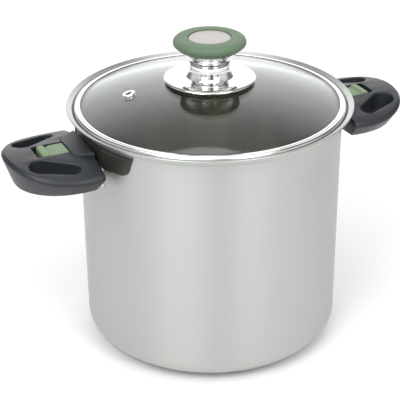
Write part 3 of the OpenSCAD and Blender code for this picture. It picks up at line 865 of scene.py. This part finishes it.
def side_pieces():
    """The grip, latch cover and button of each handle."""
    grip = grip_mesh()
    cutters = handle_cutters()
    cover = latch_cover()
    press = merged([button_cap()] + button_parts())
    for side, turn in (("right", lambda shape: shape), ("left", turned)):
        body = side + "_handle"
        shell = new_piece(side + "_grip", *turn(grip), body=body, slot="handle_plastic",
                          replaces=[side + "_handle_shell"], crease=40)
        carve(shell, [turn(c) for c in cutters], 40)
        new_piece(side + "_cover", *turn(cover), body=body, slot="handle_plastic",
                  replaces=[side + "_latch_cover"], crease=50)
        new_piece(side + "_press", *turn(press), body=side + "_latch", slot="button_green",
                  replaces=[side + "_button"], crease=50)


# ---------------------------------------------------------------- studio

# Angle of the camera round the pot, anticlockwise from +X, in degrees.
VIEW_AZ = -115.57
# Shade of the studio's walls at angles round the pot, in degrees from the camera's side.
WALLS = [(-178, 1.75), (-150, 1.45), (-138, 0.22), (-118, 0.22), (-104, 0.70), (-54, 0.82), (-45, 0.30),
         (-37, 1.0), (-26, 0.45), (-14, 1.0), (0, 0.85), (7, 0.10), (15, 0.10), (20, 1.0), (36, 0.85),
         (43, 0.25), (52, 0.80), (90, 0.80), (112, 0.22), (136, 0.22), (150, 1.45), (178, 1.75)]


def studio():
    """Pale floor, white surroundings and soft lights."""
    size = 6.0
    corners = [(-size, -size, 0), (size, -size, 0), (size, size, 0), (-size, size, 0)]
    mesh = bpy.data.meshes.new("floor")
    mesh.from_pydata(corners, [], [[0, 1, 2, 3]])
    floor = bpy.data.objects.new("floor", mesh)
    bpy.context.scene.collection.objects.link(floor)
    look = Look("floor", (0.93, 0.93, 0.93), 0.8)
    mesh.materials.append(look.material)

    world = bpy.data.worlds.new("studio")
    bpy.context.scene.world = world
    world.use_nodes = True
    nodes = world.node_tree.nodes
    links = world.node_tree.links
    background = nodes["Background"]
    split = nodes.new("ShaderNodeSeparateXYZ")
    links.new(nodes.new("ShaderNodeTexCoord").outputs["Generated"], split.inputs[0])
    angle = nodes.new("ShaderNodeMath")
    angle.operation = "ARCTAN2"
    links.new(split.outputs["Y"], angle.inputs[0])
    links.new(split.outputs["X"], angle.inputs[1])
    turn = nodes.new("ShaderNodeMapRange")
    turn.inputs["From Min"].default_value = -math.pi
    turn.inputs["From Max"].default_value = math.pi
    links.new(angle.outputs[0], turn.inputs["Value"])
    panels = nodes.new("ShaderNodeValToRGB")
    links.new(turn.outputs["Result"], panels.inputs["Fac"])
    links.new(panels.outputs["Color"], background.inputs["Color"])
    stops = panels.color_ramp.elements
    for place, shade in WALLS:
        stop = stops.new(((place + VIEW_AZ + 180) % 360) / 360)
        stop.color = (shade, shade, shade, 1)
    stops.remove(stops[0])
    stops.remove(stops[-1])
    dimmer = nodes.new("ShaderNodeMapRange")
    dimmer.interpolation_type = "SMOOTHSTEP"
    dimmer.inputs["From Min"].default_value = 0.45
    dimmer.inputs["From Max"].default_value = 0.95
    dimmer.inputs["To Min"].default_value = 1.0
    dimmer.inputs["To Max"].default_value = 0.32
    links.new(split.outputs["Z"], dimmer.inputs["Value"])
    links.new(dimmer.outputs["Result"], background.inputs["Strength"])

    def softbox(name, place, target, width, height, power):
        light = bpy.data.lights.new(name, "AREA")
        light.shape = "RECTANGLE"
        light.size = width
        light.size_y = height
        light.energy = power
        lamp = bpy.data.objects.new(name, light)
        lamp.location = place
        lamp.rotation_euler = (Vector(target) - Vector(place)).to_track_quat("-Z", "Y").to_euler()
        bpy.context.scene.collection.objects.link(lamp)

    softbox("left", (-1.15, -0.75, 1.35), (0, 0, 0.1), 0.8, 0.8, 11)
    softbox("right", (0.35, -1.35, 1.35), (0, 0, 0.1), 0.6, 0.8, 8)
    sky = bpy.data.lights.new("sky", "SUN")
    sky.energy = 1.5
    sky.angle = math.radians(70)
    lamp = bpy.data.objects.new("sky", sky)
    lamp.rotation_euler = (math.radians(8), math.radians(-6), 0)
    bpy.context.scene.collection.objects.link(lamp)


def camera():
    """The photograph's viewpoint: right handle turned away to the back, seen from above."""
    elevation = math.radians(28.079)
    tilt = math.radians(-0.600)
    turn = math.radians(25.57)
    yaw = math.radians(-0.5555) + turn
    roll = math.radians(-0.507)
    distance = 0.95594
    aim_z = 0.0945
    place = Vector((-distance * math.cos(elevation) * math.sin(turn),
                    -distance * math.cos(elevation) * math.cos(turn),
                    aim_z + distance * math.sin(elevation)))
    pitch = elevation + tilt
    ahead = Vector((math.cos(pitch) * math.sin(yaw), math.cos(pitch) * math.cos(yaw), -math.sin(pitch)))
    right = ahead.cross(Vector((0, 0, 1))).normalized()
    up = right.cross(ahead)
    across = right * math.cos(roll) + up * math.sin(roll)
    above = up * math.cos(roll) - right * math.sin(roll)
    data = bpy.data.cameras.new("camera")
    data.sensor_width = 36
    data.lens = 108.21
    data.clip_start = 0.05
    eye = bpy.data.objects.new("camera", data)
    eye.matrix_world = Matrix(((across.x, above.x, -ahead.x, place.x),
                               (across.y, above.y, -ahead.y, place.y),
                               (across.z, above.z, -ahead.z, place.z),
                               (0, 0, 0, 1)))
    bpy.context.scene.collection.objects.link(eye)
    bpy.context.scene.camera = eye


bpy.context.scene.view_settings.view_transform = "Standard"
bpy.context.scene.cycles.glossy_bounces = 10
camera()
studio()
pot_body()
lid_pane()
lid_band()
vent()
knob()
side_pieces()
